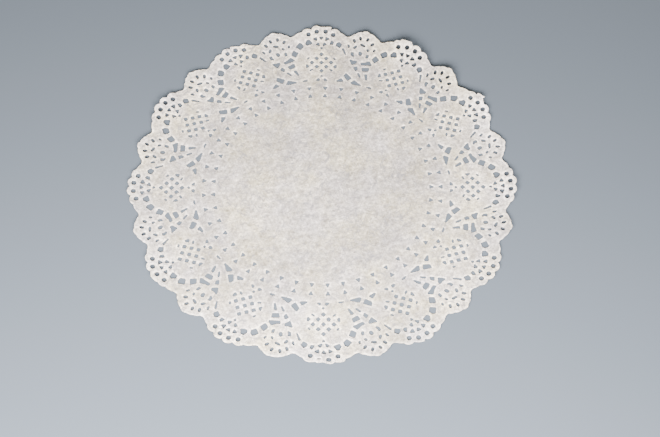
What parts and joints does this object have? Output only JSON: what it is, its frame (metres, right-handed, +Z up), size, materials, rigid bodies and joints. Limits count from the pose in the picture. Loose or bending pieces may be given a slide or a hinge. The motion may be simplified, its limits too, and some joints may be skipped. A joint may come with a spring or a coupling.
{
  "type": "paper doily",
  "caption": "Round die-cut paper lace doily with a plain middle, a pierced border and a scalloped rim that curls up slightly.",
  "frame": {"origin": "centre of the doily on the surface it lies on", "axes": "+Z up out of the upper side, +Y from the centre towards the first medallion, +X to the right seen from above"},
  "size_m": [0.244, 0.244, 0.0068],
  "materials": {
    "paper": "uncoated warm white tissue-like paper, matt, with faint cloudy fibres"
  },
  "bodies": {
    "root": {"doily": "paper"}
  },
  "joints": []
}
